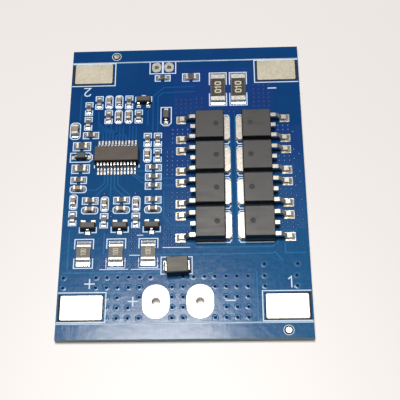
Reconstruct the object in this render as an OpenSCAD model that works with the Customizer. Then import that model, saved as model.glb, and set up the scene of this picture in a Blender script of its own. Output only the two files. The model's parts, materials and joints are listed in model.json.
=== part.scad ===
// Battery management board for a three-cell pack.
// A blue laminate lies flat with its underside on z = 0 and its centre on the origin.
// Wire pads stand at the corners, two plated holes at the front take the output leads,
// eight power transistors carry the load current and the controller sits on the left.
// Lengths are in millimetres.

/* [Board] */
// Width of the board, from the left edge to the right
board_w = 46; // [45.6:0.2:60]
// Length of the main board, between its two score lines
board_l = 57; // [56.6:0.2:75]
// Width of each break-off rail, front and back
rail_w = 3; // [2.4:0.2:8]
// Thickness of the laminate
board_t = 1.2; // [0.8:0.1:2.4]
// Depth of each score cut
score_depth = 0.25; // [0.1:0.05:0.35]
// Diameter of the tinned sighting mark on each rail
sight_mark_d = 1.1; // [0.8:0.1:1.6]
// Thickness of the tinned copper that stands above the laminate
plating_t = 0.08; // [0.04:0.01:0.15]

/* [Wire pads] */
// Length of a wire pad along the width of the board
wire_pad_l = 7.6; // [6:0.1:9]
// Width of a wire pad along the length of the board
wire_pad_w = 4.7; // [3:0.1:4.8]
// Bare margin between a wire pad and the side of the board
wire_pad_margin = 0.7; // [0.4:0.1:1.5]
// Gap between a front wire pad and the front score line
front_pad_gap = 0.7; // [0.4:0.1:1.2]
// Gap between a back wire pad and the back score line
back_pad_gap = 0.4; // [0.4:0.1:1.2]

/* [Plated holes] */
// Diameter of each output hole inside its plating
output_hole_d = 1.6; // [1:0.1:2.4]
// Width of the pad around an output hole
output_pad_w = 4.9; // [4:0.1:5.4]
// Length of the pad around an output hole
output_pad_l = 6.6; // [5.6:0.1:7]
// Distance between the two output holes
output_pitch = 8; // [7.4:0.1:9]
// Diameter of each temperature sensor hole inside its plating
sensor_hole_d = 0.9; // [0.6:0.05:1.1]
// Width of the pad around a sensor hole
sensor_pad_w = 1.9; // [1.6:0.05:2]
// Length of the pad around a sensor hole
sensor_pad_l = 2.4; // [2:0.05:2.5]
// Distance between the two sensor holes
sensor_pitch = 2.54; // [2.4:0.02:2.9]
// Thickness of the plating that lines a hole
barrel_t = 0.05; // [0.03:0.01:0.1]

/* [Power transistors] */
// Distance between neighbouring rows of power transistors
power_pitch = 7.1; // [6.9:0.1:7.6]
// Gap between the tab ends of the two columns
power_tab_gap = 1.2; // [0.7:0.1:1.5]
// Width of a moulded body along the row pitch
power_body_w = 6.4; // [6:0.1:6.7]
// Length of a moulded body, from its leads to its tab
power_body_l = 5.7; // [5.5:0.1:6.2]
// Height of a moulded body
power_body_h = 2.3; // [2:0.1:2.8]
// Thickness of the lead and tab metal
power_metal_t = 0.5; // [0.4:0.05:0.55]
// Width of a lead
power_lead_w = 0.8; // [0.6:0.05:1]
// Distance between the two outer leads
power_lead_pitch = 4.57; // [4.2:0.01:4.8]
// Reach of an outer lead beyond the body
power_lead_reach = 3; // [2.7:0.05:3.2]
// Reach of the cropped middle lead beyond the body
power_stub_reach = 0.85; // [0.5:0.05:1.1]
// Height of the leads above the board where they leave the body
power_lead_rise = 0.95; // [0.92:0.01:1.1]
// Width of the tab
power_tab_w = 5.3; // [4.8:0.1:5.6]
// Reach of the tab beyond the body
power_tab_reach = 1.1; // [0.9:0.05:1.3]

/* [Controller] */
// Number of leads on each side
controller_leads_per_side = 12; // [8:1:12]
// Distance between neighbouring leads
controller_pitch = 0.65; // [0.5:0.005:0.66]
// Length of the moulded body
controller_body_l = 8.65; // [8.2:0.05:9]
// Width of the moulded body
controller_body_w = 3.4; // [3.2:0.1:4]
// Height of the top of the body above its seat
controller_body_h = 1.75; // [1.5:0.05:2]
// Distance over the lead tips
controller_span = 6; // [5.8:0.1:6.6]

/* [Small transistors] */
// Length of the body
small_body_l = 2.9; // [2.7:0.05:3]
// Width of the body
small_body_w = 1.35; // [1.2:0.05:1.5]
// Height of the top of the body above its seat
small_body_h = 1.15; // [0.95:0.05:1.3]
// Distance over the lead tips
small_span = 2.5; // [2.4:0.05:2.8]
// Distance between the two leads that share a side
small_pitch = 1.9; // [1.7:0.05:2]

/* [Chip parts] */
// Length of a small chip
chip_l = 1.6; // [1.4:0.05:1.8]
// Width of a small chip
chip_w = 0.8; // [0.7:0.05:0.9]
// Length of a medium chip
medium_chip_l = 2; // [1.8:0.05:2.2]
// Width of a medium chip
medium_chip_w = 1.25; // [1.1:0.05:1.4]
// Height of a chip resistor
resistor_h = 0.5; // [0.4:0.05:0.7]
// Height of a chip capacitor
capacitor_h = 0.85; // [0.6:0.05:1.1]
// Length of a balance resistor
balance_l = 3; // [2.8:0.1:3.4]
// Width of a balance resistor
balance_w = 2.5; // [2.2:0.1:2.7]
// Length of a current shunt
shunt_l = 6.2; // [5.8:0.1:6.6]
// Width of a current shunt
shunt_w = 2.8; // [2.4:0.1:3]
// Height of a balance resistor or a shunt
wide_chip_h = 0.6; // [0.5:0.05:0.9]

/* [Diodes] */
// Length of the surge diode's body
surge_body_l = 4.1; // [3.9:0.1:4.4]
// Width of the surge diode's body
surge_body_w = 3.3; // [3:0.1:3.6]
// Height of the top of the surge diode above its seat
surge_body_h = 1.8; // [1.6:0.1:2.3]
// Width of the surge diode's leads
surge_lead_w = 1.8; // [1.4:0.1:2.2]
// Length of a signal diode's body
signal_body_l = 1.8; // [1.6:0.05:2]
// Width of a signal diode's body
signal_body_w = 1.25; // [1.1:0.05:1.4]
// Height of the top of a signal diode above its seat
signal_body_h = 1; // [0.8:0.05:1.3]

/* [Legend] */
// Width of a printed outline
legend_line = 0.2; // [0.12:0.01:0.24]
// Thickness of the printed ink
legend_t = 0.03; // [0.02:0.01:0.04]

/* [Hidden] */
$fn = 48;
POWER = [1, 2, 3, 4, 5, 6, 7, 8];
TRANSISTORS = [1, 2, 3, 4];
BALANCE = [1, 2, 3];
PAIR = [1, 2];

left_x = -board_w / 2;
score_y = board_l / 2;
total_l = board_l + 2 * rail_w;
seat_z = board_t + plating_t;
corner_r = 0.3;
arc_steps = 4;
fillet_steps = 5;

// Places are [x, y, turn], where turn is in degrees about +Z.
// The control circuit is placed from the left edge, the power circuit from the middle.
output_mid_x = -1.05;
output_y = 4.1 - score_y;
sensor_x = -4.45;
sensor_y = score_y - 1.5;
front_mark_x = board_w / 2 - 4.5;
back_mark_x = left_x + 9;

// Power transistors stand in two columns with their tabs facing each other.
power_axis_x = 9.5;
power_mid_y = 1.15;
power_offset = power_tab_gap / 2 + power_tab_reach + power_body_l / 2;
power_embed = 0.7;
power_bend_r = 0.2;
power_draft = 7;
power_bevel = 0.1;
power_foot = 0.85;
power_lead_slope = 50;
power_mark_d = 1.1;
power_mark_inset = 1.6;
die_pad_setback = 1.4;
tab_corner_cut = 0.5;
power_land_w = 1.75;
power_land_l = 1.9;
power_land_toe = 0.7;
tab_land_margin = 0.08;
tab_fillet_reach = 0.08;
tab_fillet_side = 0.55;
foot_fillet_reach = 0.6;
foot_fillet_side = 0.25;
function power_side(i) = i <= 4 ? -1 : 1;
function power_row(i) = i <= 4 ? i : i - 4;
function power_y(row) = power_mid_y + (2.5 - row) * power_pitch;
function power_place(i) = [
    power_axis_x + power_side(i) * power_offset,
    power_y(power_row(i)),
    power_side(i) < 0 ? 0 : 180
];

controller_place = [left_x + 9.9, 5.85, 0];
controller_lead_t = 0.2;
controller_lead_w = 0.28;
controller_rise = 0.85;
controller_embed = 0.3;
controller_foot = 0.45;
controller_bend_r = 0.1;
controller_standoff = 0.12;
controller_draft = 8;
controller_bevel = 0.08;
controller_mark_d = 0.6;
controller_mark_inset = 0.98;
controller_land_toe = 0.8;
controller_land_heel = 0.2;
controller_land_side = 0.03;
mark_depth = 0.06;

small_lead_t = 0.14;
small_lead_w = 0.42;
small_rise = 0.48;
small_embed = 0.2;
small_foot = 0.22;
small_bend_r = 0.08;
small_standoff = 0.06;
small_draft = 8;
small_bevel = 0.15;
small_land_heel = 0.45;
small_land_toe = 0.25;
small_land_side = 0.2;

// Three balance cells repeat along the left half of the board.
cell_pitch = 6;
first_cell_x = left_x + 4.4;
cell_edge_shift = 0.55;
function cell_x(i) = first_cell_x + (i - 1) * cell_pitch;
function edge_shift(i) = i == 1 ? cell_edge_shift : 0;
function balance_place(i) = [cell_x(i), -14.7, 90];
TRANSISTOR_PLACES = concat(
    [for (i = BALANCE) [cell_x(i) + 0.55, -9.3, 0]],
    [[left_x + 14.8, 18.8, 180]]
);
CHIP_RESISTOR_PLACES = concat(
    [for (i = BALANCE) [cell_x(i) - 2.5, -7.9 + edge_shift(i), 90]],
    [for (i = BALANCE) [cell_x(i) + 0.7, -3.65, 0]],
    [for (x = [5.9, 11.9]) [left_x + x, 18.7, 90]],
    [for (x = [7.9, 13.9]) [left_x + x, 15.25, 90]],
    [for (y = [13.8, 17.3]) [left_x + 3.9, y, 90]],
    [for (x = [15.8, 17.8]) [left_x + x, 9.75, 90]],
    [for (y = [-0.6, 1.4, 3.4]) [left_x + 17.05, y, 0]],
    [[left_x + 17.8, 6.25, 90], [left_x + 4.55, 11, 0], [left_x + 2.65, 0.9, 0]],
    [[sensor_x, sensor_y - 2.65, 0]]
);
CHIP_CAPACITOR_PLACES = concat(
    [for (i = BALANCE) [cell_x(i) + 0.7, -5.7, 0]],
    [for (i = BALANCE) [cell_x(i) - 2.5, -4.4 + edge_shift(i), 90]],
    [for (x = [7.9, 9.9]) [left_x + x, 18.75, 90]],
    [for (x = [9.9, 11.9]) [left_x + x, 15.25, 90]],
    [[left_x + 15.8, 6.25, 90], [left_x + 2.65, -1.1, 0]]
);
MEDIUM_RESISTOR_PLACES = [
    [left_x + 2.9, 8.5, 0],
    [left_x + 2.9, 3.4, 0],
    [sensor_x + 5.75, sensor_y - 2.6, 0]
];
MEDIUM_CAPACITOR_PLACES = [[left_x + 1.4, 12.1, 90]];
SHUNT_PLACES = [[power_axis_x - 2.8, 21.4, 90], [power_axis_x + 1.25, 21.4, 90]];
SIGNAL_DIODE_PLACES = [[power_axis_x - 13.15, 15.1, 90], [left_x + 2.9, 6, 180]];

// The surge diode lies between the output pads and the front row of power transistors.
// It is soldered a little askew, forward and to the right of the middle of its lands.
surge_room_front = output_y + output_pad_l / 2;
surge_room_back = power_y(4) - power_body_w / 2;
surge_y = (surge_room_front + surge_room_back) / 2 - 0.4;
SURGE_LAND_PLACE = [left_x + 21.65, surge_y, 0];
SURGE_DIODE_PLACE = [left_x + 21.85, surge_y - 0.5, 3];

chip_cap_t = 0.05;
glaze_margin = 0.02;
chip_cap_l = 0.3;
medium_cap_l = 0.4;
wide_cap_l = 0.35;
shunt_cap_l = 0.95;
chip_toe = 0.45;
wide_toe = 1;
shunt_toe = 0.6;
land_tuck = 0.15;
land_side = 0.05;
chip_fillet_rise = 0.7;
capacitor_fillet_rise = 0.6;
diode_lead_t = 0.18;
diode_bend_r = 0.12;
surge_lead_out = 0.12;
surge_embed = 0.3;
surge_tuck = 0.9;
surge_draft = 6;
surge_bevel = 0.15;
surge_land_heel = 1;
surge_land_toe = 0.35;
signal_lead_w = 0.4;
signal_lead_reach = 0.75;
signal_foot = 0.3;
signal_rise = 0.42;
signal_draft = 7;
signal_bevel = 0.08;
signal_land_heel = 0.5;
signal_land_toe = 0.25;
signal_land_side = 0.2;

// Printed outlines keep clear of the lands and of the board's edges.
legend_gap = 0.15;
edge_gap = 0.25;
pad_frame_gap = 0.6;
chip_frame_opening = 0.7;
capsule_gap = 0.1;
balance_frame_opening = 1.9;
shunt_frame_opening = 2;
balance_frame_gap = 0.2;
surge_frame_gap = 0.2;
surge_frame_side = 0.15;
diode_frame_gap = 0.4;
diode_frame_cut = 0.6;
transistor_frame_gap = 0.4;
transistor_frame_opening = 1.6;
controller_line_l = 0.5;
sensor_divider_l = 0.9;
tab_line_start = 0.3;
tab_line_turn = 0.4;
tab_line_end = 0.1;
tab_line_drop = 0.5;

function arc(x, y, r, from, to) = [
    for (i = [0:arc_steps])
        let (a = from + (to - from) * i / arc_steps)
        [x + r * cos(a), y + r * sin(a)]
];

// Moves children to a place at height z.
module at(p, z) {
    translate([p[0], p[1], z])
        rotate(p[2])
            children();
}

module rounded_rect(l, w, r) {
    square([l - 2 * r, w], center = true);
    square([l, w - 2 * r], center = true);
    for (x = [-1, 1], y = [-1, 1])
        translate([x * (l / 2 - r), y * (w / 2 - r)])
            circle(r);
}

// A slot outline that is longer along y.
module obround(w, l) {
    square([w, l - w], center = true);
    for (y = [-1, 1])
        translate([0, y * (l - w) / 2])
            circle(d = w);
}

// ---- Laminate ----

// A V cut along the whole width of the board, with its floor pointing down.
module score_cut() {
    half = score_depth * tan(30);
    rotate([90, 0, 90])
        linear_extrude(board_w + 2, center = true)
            polygon([[-2 * half, score_depth], [0, -score_depth], [2 * half, score_depth]]);
}

module plated_hole_room(w, l, hole_d) {
    translate([0, 0, -1])
        cylinder(d = hole_d + 2 * barrel_t, h = board_t + 2);
    translate([0, 0, -1])
        linear_extrude(1 + plating_t)
            obround(w, l);
}

module printed_board() {
    color("#17528f")
        difference() {
            translate([-board_w / 2, -total_l / 2, 0])
                cube([board_w, total_l, board_t]);
            for (y = [-score_y, score_y]) {
                translate([0, y, board_t])
                    score_cut();
                translate([0, y, 0])
                    mirror([0, 0, 1])
                        score_cut();
            }
            for (side = [-1, 1]) {
                translate([output_mid_x + side * output_pitch / 2, output_y, 0])
                    plated_hole_room(output_pad_w, output_pad_l, output_hole_d);
                translate([sensor_x + side * sensor_pitch / 2, sensor_y, 0])
                    plated_hole_room(sensor_pad_w, sensor_pad_l, sensor_hole_d);
            }
        }
}

// A round tinned mark on each rail, by which the assembly line finds the board.
module sight_marks() {
    color("#dfe3e4")
        for (p = [[front_mark_x, -score_y - rail_w / 2], [back_mark_x, score_y + rail_w / 2]])
            translate([p[0], p[1], board_t])
                cylinder(d = sight_mark_d, h = plating_t);
}

// ---- Terminals ----

// A tinned pad in a corner of the main board; side and end give the corner.
module wire_pad(side, end) {
    gap = end < 0 ? front_pad_gap : back_pad_gap;
    x = side * (board_w / 2 - wire_pad_margin - wire_pad_l / 2);
    y = end * (score_y - gap - wire_pad_w / 2);
    color("#cdc7b4")
        translate([x, y, board_t])
            linear_extrude(plating_t)
                rounded_rect(wire_pad_l, wire_pad_w, corner_r);
}

// A pad on both faces joined by the barrel that lines its hole; the lower face is flush.
module plated_hole(w, l, hole_d) {
    color("#d9d9d6")
        difference() {
            union() {
                linear_extrude(plating_t)
                    obround(w, l);
                cylinder(d = hole_d + 2 * barrel_t, h = seat_z);
                translate([0, 0, board_t])
                    linear_extrude(plating_t)
                        obround(w, l);
            }
            translate([0, 0, -1])
                cylinder(d = hole_d, h = seat_z + 2);
        }
}

module output_terminal(side) {
    translate([output_mid_x + side * output_pitch / 2, output_y, 0])
        plated_hole(output_pad_w, output_pad_l, output_hole_d);
}

module sensor_terminal(side) {
    translate([sensor_x + side * sensor_pitch / 2, sensor_y, 0])
        plated_hole(sensor_pad_w, sensor_pad_l, sensor_hole_d);
}

// ---- Moulded bodies and bent leads ----

// Half of a moulded section: widest at the parting height, with a bevelled top edge.
function mould_side(w, h, part_z, draft, bevel) = [
    [w / 2 - part_z * tan(draft), 0],
    [w / 2, part_z],
    [w / 2 - (h - bevel - part_z) * tan(draft), h - bevel],
    [w / 2 - (h - bevel - part_z) * tan(draft) - bevel, h]
];

module mould_section(w, h, part_z, draft, bevel) {
    right = mould_side(w, h, part_z, draft, bevel);
    left = [for (i = [3:-1:0]) [-right[i][0], right[i][1]]];
    polygon(concat(right, left));
}

// A body with draft on all four sides, above and below its parting line.
module moulded_body(l, w, h, part_z, draft, bevel) {
    intersection() {
        rotate([90, 0, 0])
            linear_extrude(w, center = true)
                mould_section(l, h, part_z, draft, bevel);
        rotate([90, 0, 90])
            linear_extrude(l, center = true)
                mould_section(w, h, part_z, draft, bevel);
    }
}

// A strip bent out, down and out again; its root is at x = 0 and its foot is on z = 0.
// Between its two bends it slopes down at the given angle.
module gull_wing(root, reach, foot, rise, t, r, w, slope = 90) {
    bends = 2 * r + t;
    straight = (rise - bends * (1 - cos(slope))) / sin(slope);
    heel = reach - foot;
    knee = heel - bends * sin(slope) - straight * cos(slope);
    upper = concat(
        [[-root, rise + t]],
        arc(knee, rise - r, r + t, 90, 90 - slope),
        arc(heel, t + r, r, 270 - slope, 270),
        [[reach, t]]
    );
    lower = concat(
        [[reach, 0]],
        arc(heel, t + r, r + t, 270, 270 - slope),
        arc(knee, rise - r, r, 90 - slope, 90),
        [[-root, rise]]
    );
    rotate([90, 0, 0])
        linear_extrude(w, center = true)
            polygon(concat(upper, lower));
}

// A strip bent out, down and back under its body, with its root at x = 0.
module tucked_lead(root, out, tuck, rise, t, r, w) {
    outer = concat(
        [[-root, rise + t]],
        arc(out, rise - r, r + t, 90, 0),
        arc(out, t + r, r + t, 0, -90),
        [[-tuck, 0]]
    );
    inner = concat(
        [[-tuck, t]],
        arc(out, t + r, r, -90, 0),
        arc(out, rise - r, r, 0, 90),
        [[-root, rise]]
    );
    rotate([90, 0, 0])
        linear_extrude(w, center = true)
            polygon(concat(outer, inner));
}

// ---- Power transistors ----

// The outline of the tab and die pad, with the corners of the tab cut off.
module tab_outline(margin) {
    tip = power_body_l / 2 + power_tab_reach + margin;
    inner_end = -power_body_l / 2 + die_pad_setback;
    y = power_tab_w / 2 + margin;
    polygon([
        [inner_end, -y],
        [tip - tab_corner_cut, -y],
        [tip, -y + tab_corner_cut],
        [tip, y - tab_corner_cut],
        [tip - tab_corner_cut, y],
        [inner_end, y]
    ]);
}

// The tab points to +x and the leads to -x.
module power_leadframe_shape() {
    linear_extrude(power_metal_t)
        tab_outline(0);
    for (side = [-1, 1])
        translate([-power_body_l / 2, side * power_lead_pitch / 2, 0])
            mirror([1, 0, 0])
                gull_wing(power_embed, power_lead_reach, power_foot, power_lead_rise,
                    power_metal_t, power_bend_r, power_lead_w, power_lead_slope);
    translate([-power_body_l / 2 - power_stub_reach, -power_lead_w / 2, power_lead_rise])
        cube([power_stub_reach + power_embed, power_lead_w, power_metal_t]);
}

module power_leadframe(i) {
    color("#d3d3d0")
        at(power_place(i), seat_z)
            power_leadframe_shape();
}

module power_body(i) {
    part_z = power_lead_rise + power_metal_t / 2;
    color("#4b4947")
        at(power_place(i), seat_z)
            difference() {
                moulded_body(power_body_l, power_body_w, power_body_h, part_z, power_draft,
                    power_bevel);
                power_leadframe_shape();
                translate([power_body_l / 2 - power_mark_inset, 0,
                        power_body_h - mark_depth])
                    cylinder(d = power_mark_d, h = 1);
            }
}

// ---- Controller ----

module controller_leads_shape() {
    first = -(controller_leads_per_side - 1) / 2 * controller_pitch;
    for (turn = [-90, 90], i = [0:controller_leads_per_side - 1])
        rotate(turn)
            translate([controller_body_w / 2, first + i * controller_pitch, 0])
                gull_wing(controller_embed, (controller_span - controller_body_w) / 2,
                    controller_foot, controller_rise, controller_lead_t, controller_bend_r,
                    controller_lead_w);
}

module controller_leads() {
    color("#dcdcda")
        at(controller_place, seat_z)
            controller_leads_shape();
}

module controller_body() {
    part_z = controller_rise + controller_lead_t / 2;
    color("#57534e")
        at(controller_place, seat_z)
            difference() {
                translate([0, 0, controller_standoff])
                    moulded_body(controller_body_l, controller_body_w,
                        controller_body_h - controller_standoff,
                        part_z - controller_standoff, controller_draft, controller_bevel);
                controller_leads_shape();
                translate([-controller_body_l / 2 + controller_mark_inset,
                        -controller_body_w / 2 + controller_mark_inset,
                        controller_body_h - mark_depth])
                    cylinder(d = controller_mark_d, h = 1);
            }
}

// ---- Small transistors ----

// One lead points to -y and two to +y.
module transistor_leads_shape() {
    reach = (small_span - small_body_w) / 2;
    rotate(-90)
        translate([small_body_w / 2, 0, 0])
            gull_wing(small_embed, reach, small_foot, small_rise, small_lead_t,
                small_bend_r, small_lead_w);
    for (side = [-1, 1])
        rotate(90)
            translate([small_body_w / 2, side * small_pitch / 2, 0])
                gull_wing(small_embed, reach, small_foot, small_rise, small_lead_t,
                    small_bend_r, small_lead_w);
}

module transistor_leads(i) {
    color("#d8d8d6")
        at(TRANSISTOR_PLACES[i - 1], seat_z)
            transistor_leads_shape();
}

module transistor_body(i) {
    part_z = small_rise + small_lead_t / 2;
    color("#3a3836")
        at(TRANSISTOR_PLACES[i - 1], seat_z)
            difference() {
                translate([0, 0, small_standoff])
                    moulded_body(small_body_l, small_body_w, small_body_h - small_standoff,
                        part_z - small_standoff, small_draft, small_bevel);
                transistor_leads_shape();
            }
}

// ---- Chip parts ----

// A ceramic plate between wrap-around terminals, with its long side along x.
module resistor_ceramic(l, w, h) {
    translate([0, 0, h / 2])
        cube([l - 2 * chip_cap_t, w, h - 2 * chip_cap_t], center = true);
}

// Two terminals folded over the ends of the ceramic.
module wrap_terminals(l, w, h, cap_l) {
    for (side = [-1, 1])
        difference() {
            translate([side * (l - cap_l) / 2, 0, h / 2])
                cube([cap_l, w, h], center = true);
            translate([0, 0, h / 2])
                cube([l - 2 * chip_cap_t, w + 1, h - 2 * chip_cap_t], center = true);
        }
}

// The dark glaze that covers the resistive film between the terminals.
module glaze(l, w, h, cap_l) {
    translate([0, 0, h - chip_cap_t / 2])
        cube([l - 2 * cap_l, w - 2 * glaze_margin, chip_cap_t], center = true);
}

module capacitor_ceramic(l, w, h) {
    translate([0, 0, h / 2])
        cube([l - 2 * chip_cap_t, w - 2 * chip_cap_t, h - 2 * chip_cap_t], center = true);
}

// Two terminals that enclose the ends of the ceramic on five sides.
module cup_terminals(l, w, h, cap_l) {
    for (side = [-1, 1])
        difference() {
            translate([side * (l - cap_l) / 2, 0, h / 2])
                cube([cap_l, w, h], center = true);
            capacitor_ceramic(l, w, h);
        }
}

module chip_resistors() {
    color("#e8e6df") {
        for (p = CHIP_RESISTOR_PLACES)
            at(p, seat_z)
                resistor_ceramic(chip_l, chip_w, resistor_h);
        for (p = MEDIUM_RESISTOR_PLACES)
            at(p, seat_z)
                resistor_ceramic(medium_chip_l, medium_chip_w, resistor_h);
    }
}

module chip_resistor_terminals() {
    color("#d4d4d2") {
        for (p = CHIP_RESISTOR_PLACES)
            at(p, seat_z)
                wrap_terminals(chip_l, chip_w, resistor_h, chip_cap_l);
        for (p = MEDIUM_RESISTOR_PLACES)
            at(p, seat_z)
                wrap_terminals(medium_chip_l, medium_chip_w, resistor_h, medium_cap_l);
    }
}

module chip_capacitors() {
    color("#b49a78") {
        for (p = CHIP_CAPACITOR_PLACES)
            at(p, seat_z)
                capacitor_ceramic(chip_l, chip_w, capacitor_h);
        for (p = MEDIUM_CAPACITOR_PLACES)
            at(p, seat_z)
                capacitor_ceramic(medium_chip_l, medium_chip_w, capacitor_h);
    }
}

module chip_capacitor_terminals() {
    color("#d4d4d2") {
        for (p = CHIP_CAPACITOR_PLACES)
            at(p, seat_z)
                cup_terminals(chip_l, chip_w, capacitor_h, chip_cap_l);
        for (p = MEDIUM_CAPACITOR_PLACES)
            at(p, seat_z)
                cup_terminals(medium_chip_l, medium_chip_w, capacitor_h, medium_cap_l);
    }
}

module balance_resistor(i) {
    color("#e8e6df")
        at(balance_place(i), seat_z)
            resistor_ceramic(balance_l, balance_w, wide_chip_h);
}

module balance_terminals(i) {
    color("#d4d4d2")
        at(balance_place(i), seat_z)
            wrap_terminals(balance_l, balance_w, wide_chip_h, wide_cap_l);
}

module shunt(i) {
    color("#e8e6df")
        at(SHUNT_PLACES[i - 1], seat_z)
            resistor_ceramic(shunt_l, shunt_w, wide_chip_h);
}

module shunt_terminals(i) {
    color("#d4d4d2")
        at(SHUNT_PLACES[i - 1], seat_z)
            wrap_terminals(shunt_l, shunt_w, wide_chip_h, shunt_cap_l);
}

module resistor_glaze() {
    color("#2e2c2a") {
        for (p = CHIP_RESISTOR_PLACES)
            at(p, seat_z)
                glaze(chip_l, chip_w, resistor_h, chip_cap_l);
        for (p = MEDIUM_RESISTOR_PLACES)
            at(p, seat_z)
                glaze(medium_chip_l, medium_chip_w, resistor_h, medium_cap_l);
        for (i = BALANCE)
            at(balance_place(i), seat_z)
                glaze(balance_l, balance_w, wide_chip_h, wide_cap_l);
        for (p = SHUNT_PLACES)
            at(p, seat_z)
                glaze(shunt_l, shunt_w, wide_chip_h, shunt_cap_l);
    }
}

// ---- Diodes ----

module surge_leads_shape() {
    rise = surge_body_h / 2 - diode_lead_t / 2;
    for (turn = [0, 180])
        rotate(turn)
            translate([surge_body_l / 2, 0, 0])
                tucked_lead(surge_embed, surge_lead_out, surge_tuck, rise, diode_lead_t,
                    diode_bend_r, surge_lead_w);
}

module surge_diode_leads() {
    color("#d0d0ce")
        at(SURGE_DIODE_PLACE, seat_z)
            surge_leads_shape();
}

module surge_diode_body() {
    color("#33312f")
        at(SURGE_DIODE_PLACE, seat_z)
            difference() {
                translate([0, 0, diode_lead_t])
                    moulded_body(surge_body_l, surge_body_w, surge_body_h - diode_lead_t,
                        surge_body_h / 2 - diode_lead_t, surge_draft, surge_bevel);
                surge_leads_shape();
            }
}

module signal_leads_shape() {
    for (turn = [0, 180])
        rotate(turn)
            translate([signal_body_l / 2, 0, 0])
                gull_wing(small_embed, signal_lead_reach, signal_foot, signal_rise,
                    small_lead_t, small_bend_r, signal_lead_w);
}

module signal_diode_leads() {
    color("#d8d8d6")
        for (p = SIGNAL_DIODE_PLACES)
            at(p, seat_z)
                signal_leads_shape();
}

module signal_diode_bodies() {
    part_z = signal_rise + small_lead_t / 2;
    color("#2b2a29")
        for (p = SIGNAL_DIODE_PLACES)
            at(p, seat_z)
                difference() {
                    translate([0, 0, small_standoff])
                        moulded_body(signal_body_l, signal_body_w,
                            signal_body_h - small_standoff, part_z - small_standoff,
                            signal_draft, signal_bevel);
                    signal_leads_shape();
                }
}

// ---- Copper lands ----

module land(x0, x1, w) {
    translate([(x0 + x1) / 2, 0, 0])
        linear_extrude(plating_t)
            square([x1 - x0, w], center = true);
}

// Lands under both ends of a chip, from inside its terminals out to the toe.
module chip_lands(l, w, cap_l, toe) {
    for (turn = [0, 180])
        rotate(turn)
            land(l / 2 - cap_l - land_tuck, l / 2 + toe, w + 2 * land_side);
}

module power_transistor_lands() {
    toe_x = -power_body_l / 2 - power_lead_reach - power_land_toe;
    linear_extrude(plating_t)
        tab_outline(tab_land_margin);
    for (side = [-1, 1])
        translate([0, side * power_lead_pitch / 2, 0])
            land(toe_x, toe_x + power_land_l, power_land_w);
}

module power_lands() {
    color("#c9c5ba") {
        for (i = POWER)
            at(power_place(i), board_t)
                power_transistor_lands();
        for (p = SHUNT_PLACES)
            at(p, board_t)
                chip_lands(shunt_l, shunt_w, shunt_cap_l, shunt_toe);
        for (i = BALANCE)
            at(balance_place(i), board_t)
                chip_lands(balance_l, balance_w, wide_cap_l, wide_toe);
        at(SURGE_LAND_PLACE, board_t)
            chip_lands(surge_body_l, surge_lead_w, surge_land_heel, surge_land_toe);
    }
}

module controller_lands() {
    first = -(controller_leads_per_side - 1) / 2 * controller_pitch;
    for (turn = [-90, 90], i = [0:controller_leads_per_side - 1])
        rotate(turn)
            translate([0, first + i * controller_pitch, 0])
                land(controller_body_w / 2 + controller_land_heel,
                    controller_span / 2 + controller_land_toe,
                    controller_lead_w + 2 * controller_land_side);
}

module transistor_land() {
    land(small_span / 2 - small_land_heel, small_span / 2 + small_land_toe,
        small_lead_w + 2 * small_land_side);
}

module transistor_lands() {
    rotate(-90)
        transistor_land();
    for (side = [-1, 1])
        rotate(90)
            translate([0, side * small_pitch / 2, 0])
                transistor_land();
}

module signal_diode_lands() {
    tip = signal_body_l / 2 + signal_lead_reach;
    for (turn = [0, 180])
        rotate(turn)
            land(tip - signal_land_heel, tip + signal_land_toe,
                signal_lead_w + 2 * signal_land_side);
}

module signal_lands() {
    color("#c9c5ba") {
        for (p = concat(CHIP_RESISTOR_PLACES, CHIP_CAPACITOR_PLACES))
            at(p, board_t)
                chip_lands(chip_l, chip_w, chip_cap_l, chip_toe);
        for (p = concat(MEDIUM_RESISTOR_PLACES, MEDIUM_CAPACITOR_PLACES))
            at(p, board_t)
                chip_lands(medium_chip_l, medium_chip_w, medium_cap_l, chip_toe);
        for (p = TRANSISTOR_PLACES)
            at(p, board_t)
                transistor_lands();
        for (p = SIGNAL_DIODE_PLACES)
            at(p, board_t)
                signal_diode_lands();
        at(controller_place, board_t)
            controller_lands();
    }
}

// ---- Solder ----

// A hollow-faced wedge that climbs a wall at x = 0 and runs out along the land.
module fillet(reach, height, w) {
    rotate([90, 0, 0])
        linear_extrude(w, center = true)
            polygon(concat([[0, 0]], [
                for (i = [0:fillet_steps])
                    let (a = 90 * i / fillet_steps)
                    [reach * (1 - cos(a)), height * (1 - sin(a))]
            ]));
}

module end_fillets(l, w, reach, height) {
    for (turn = [0, 180])
        rotate(turn)
            translate([l / 2, 0, 0])
                fillet(reach, height, w);
}

module power_fillets() {
    tip = power_body_l / 2 + power_tab_reach;
    translate([tip, 0, 0])
        fillet(tab_fillet_reach, power_metal_t * chip_fillet_rise,
            power_tab_w - 2 * tab_fillet_side);
    for (side = [-1, 1])
        translate([-power_body_l / 2 - power_lead_reach, side * power_lead_pitch / 2, 0])
            rotate(180)
                fillet(foot_fillet_reach, power_metal_t * chip_fillet_rise,
                    power_lead_w + 2 * foot_fillet_side);
}

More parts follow.
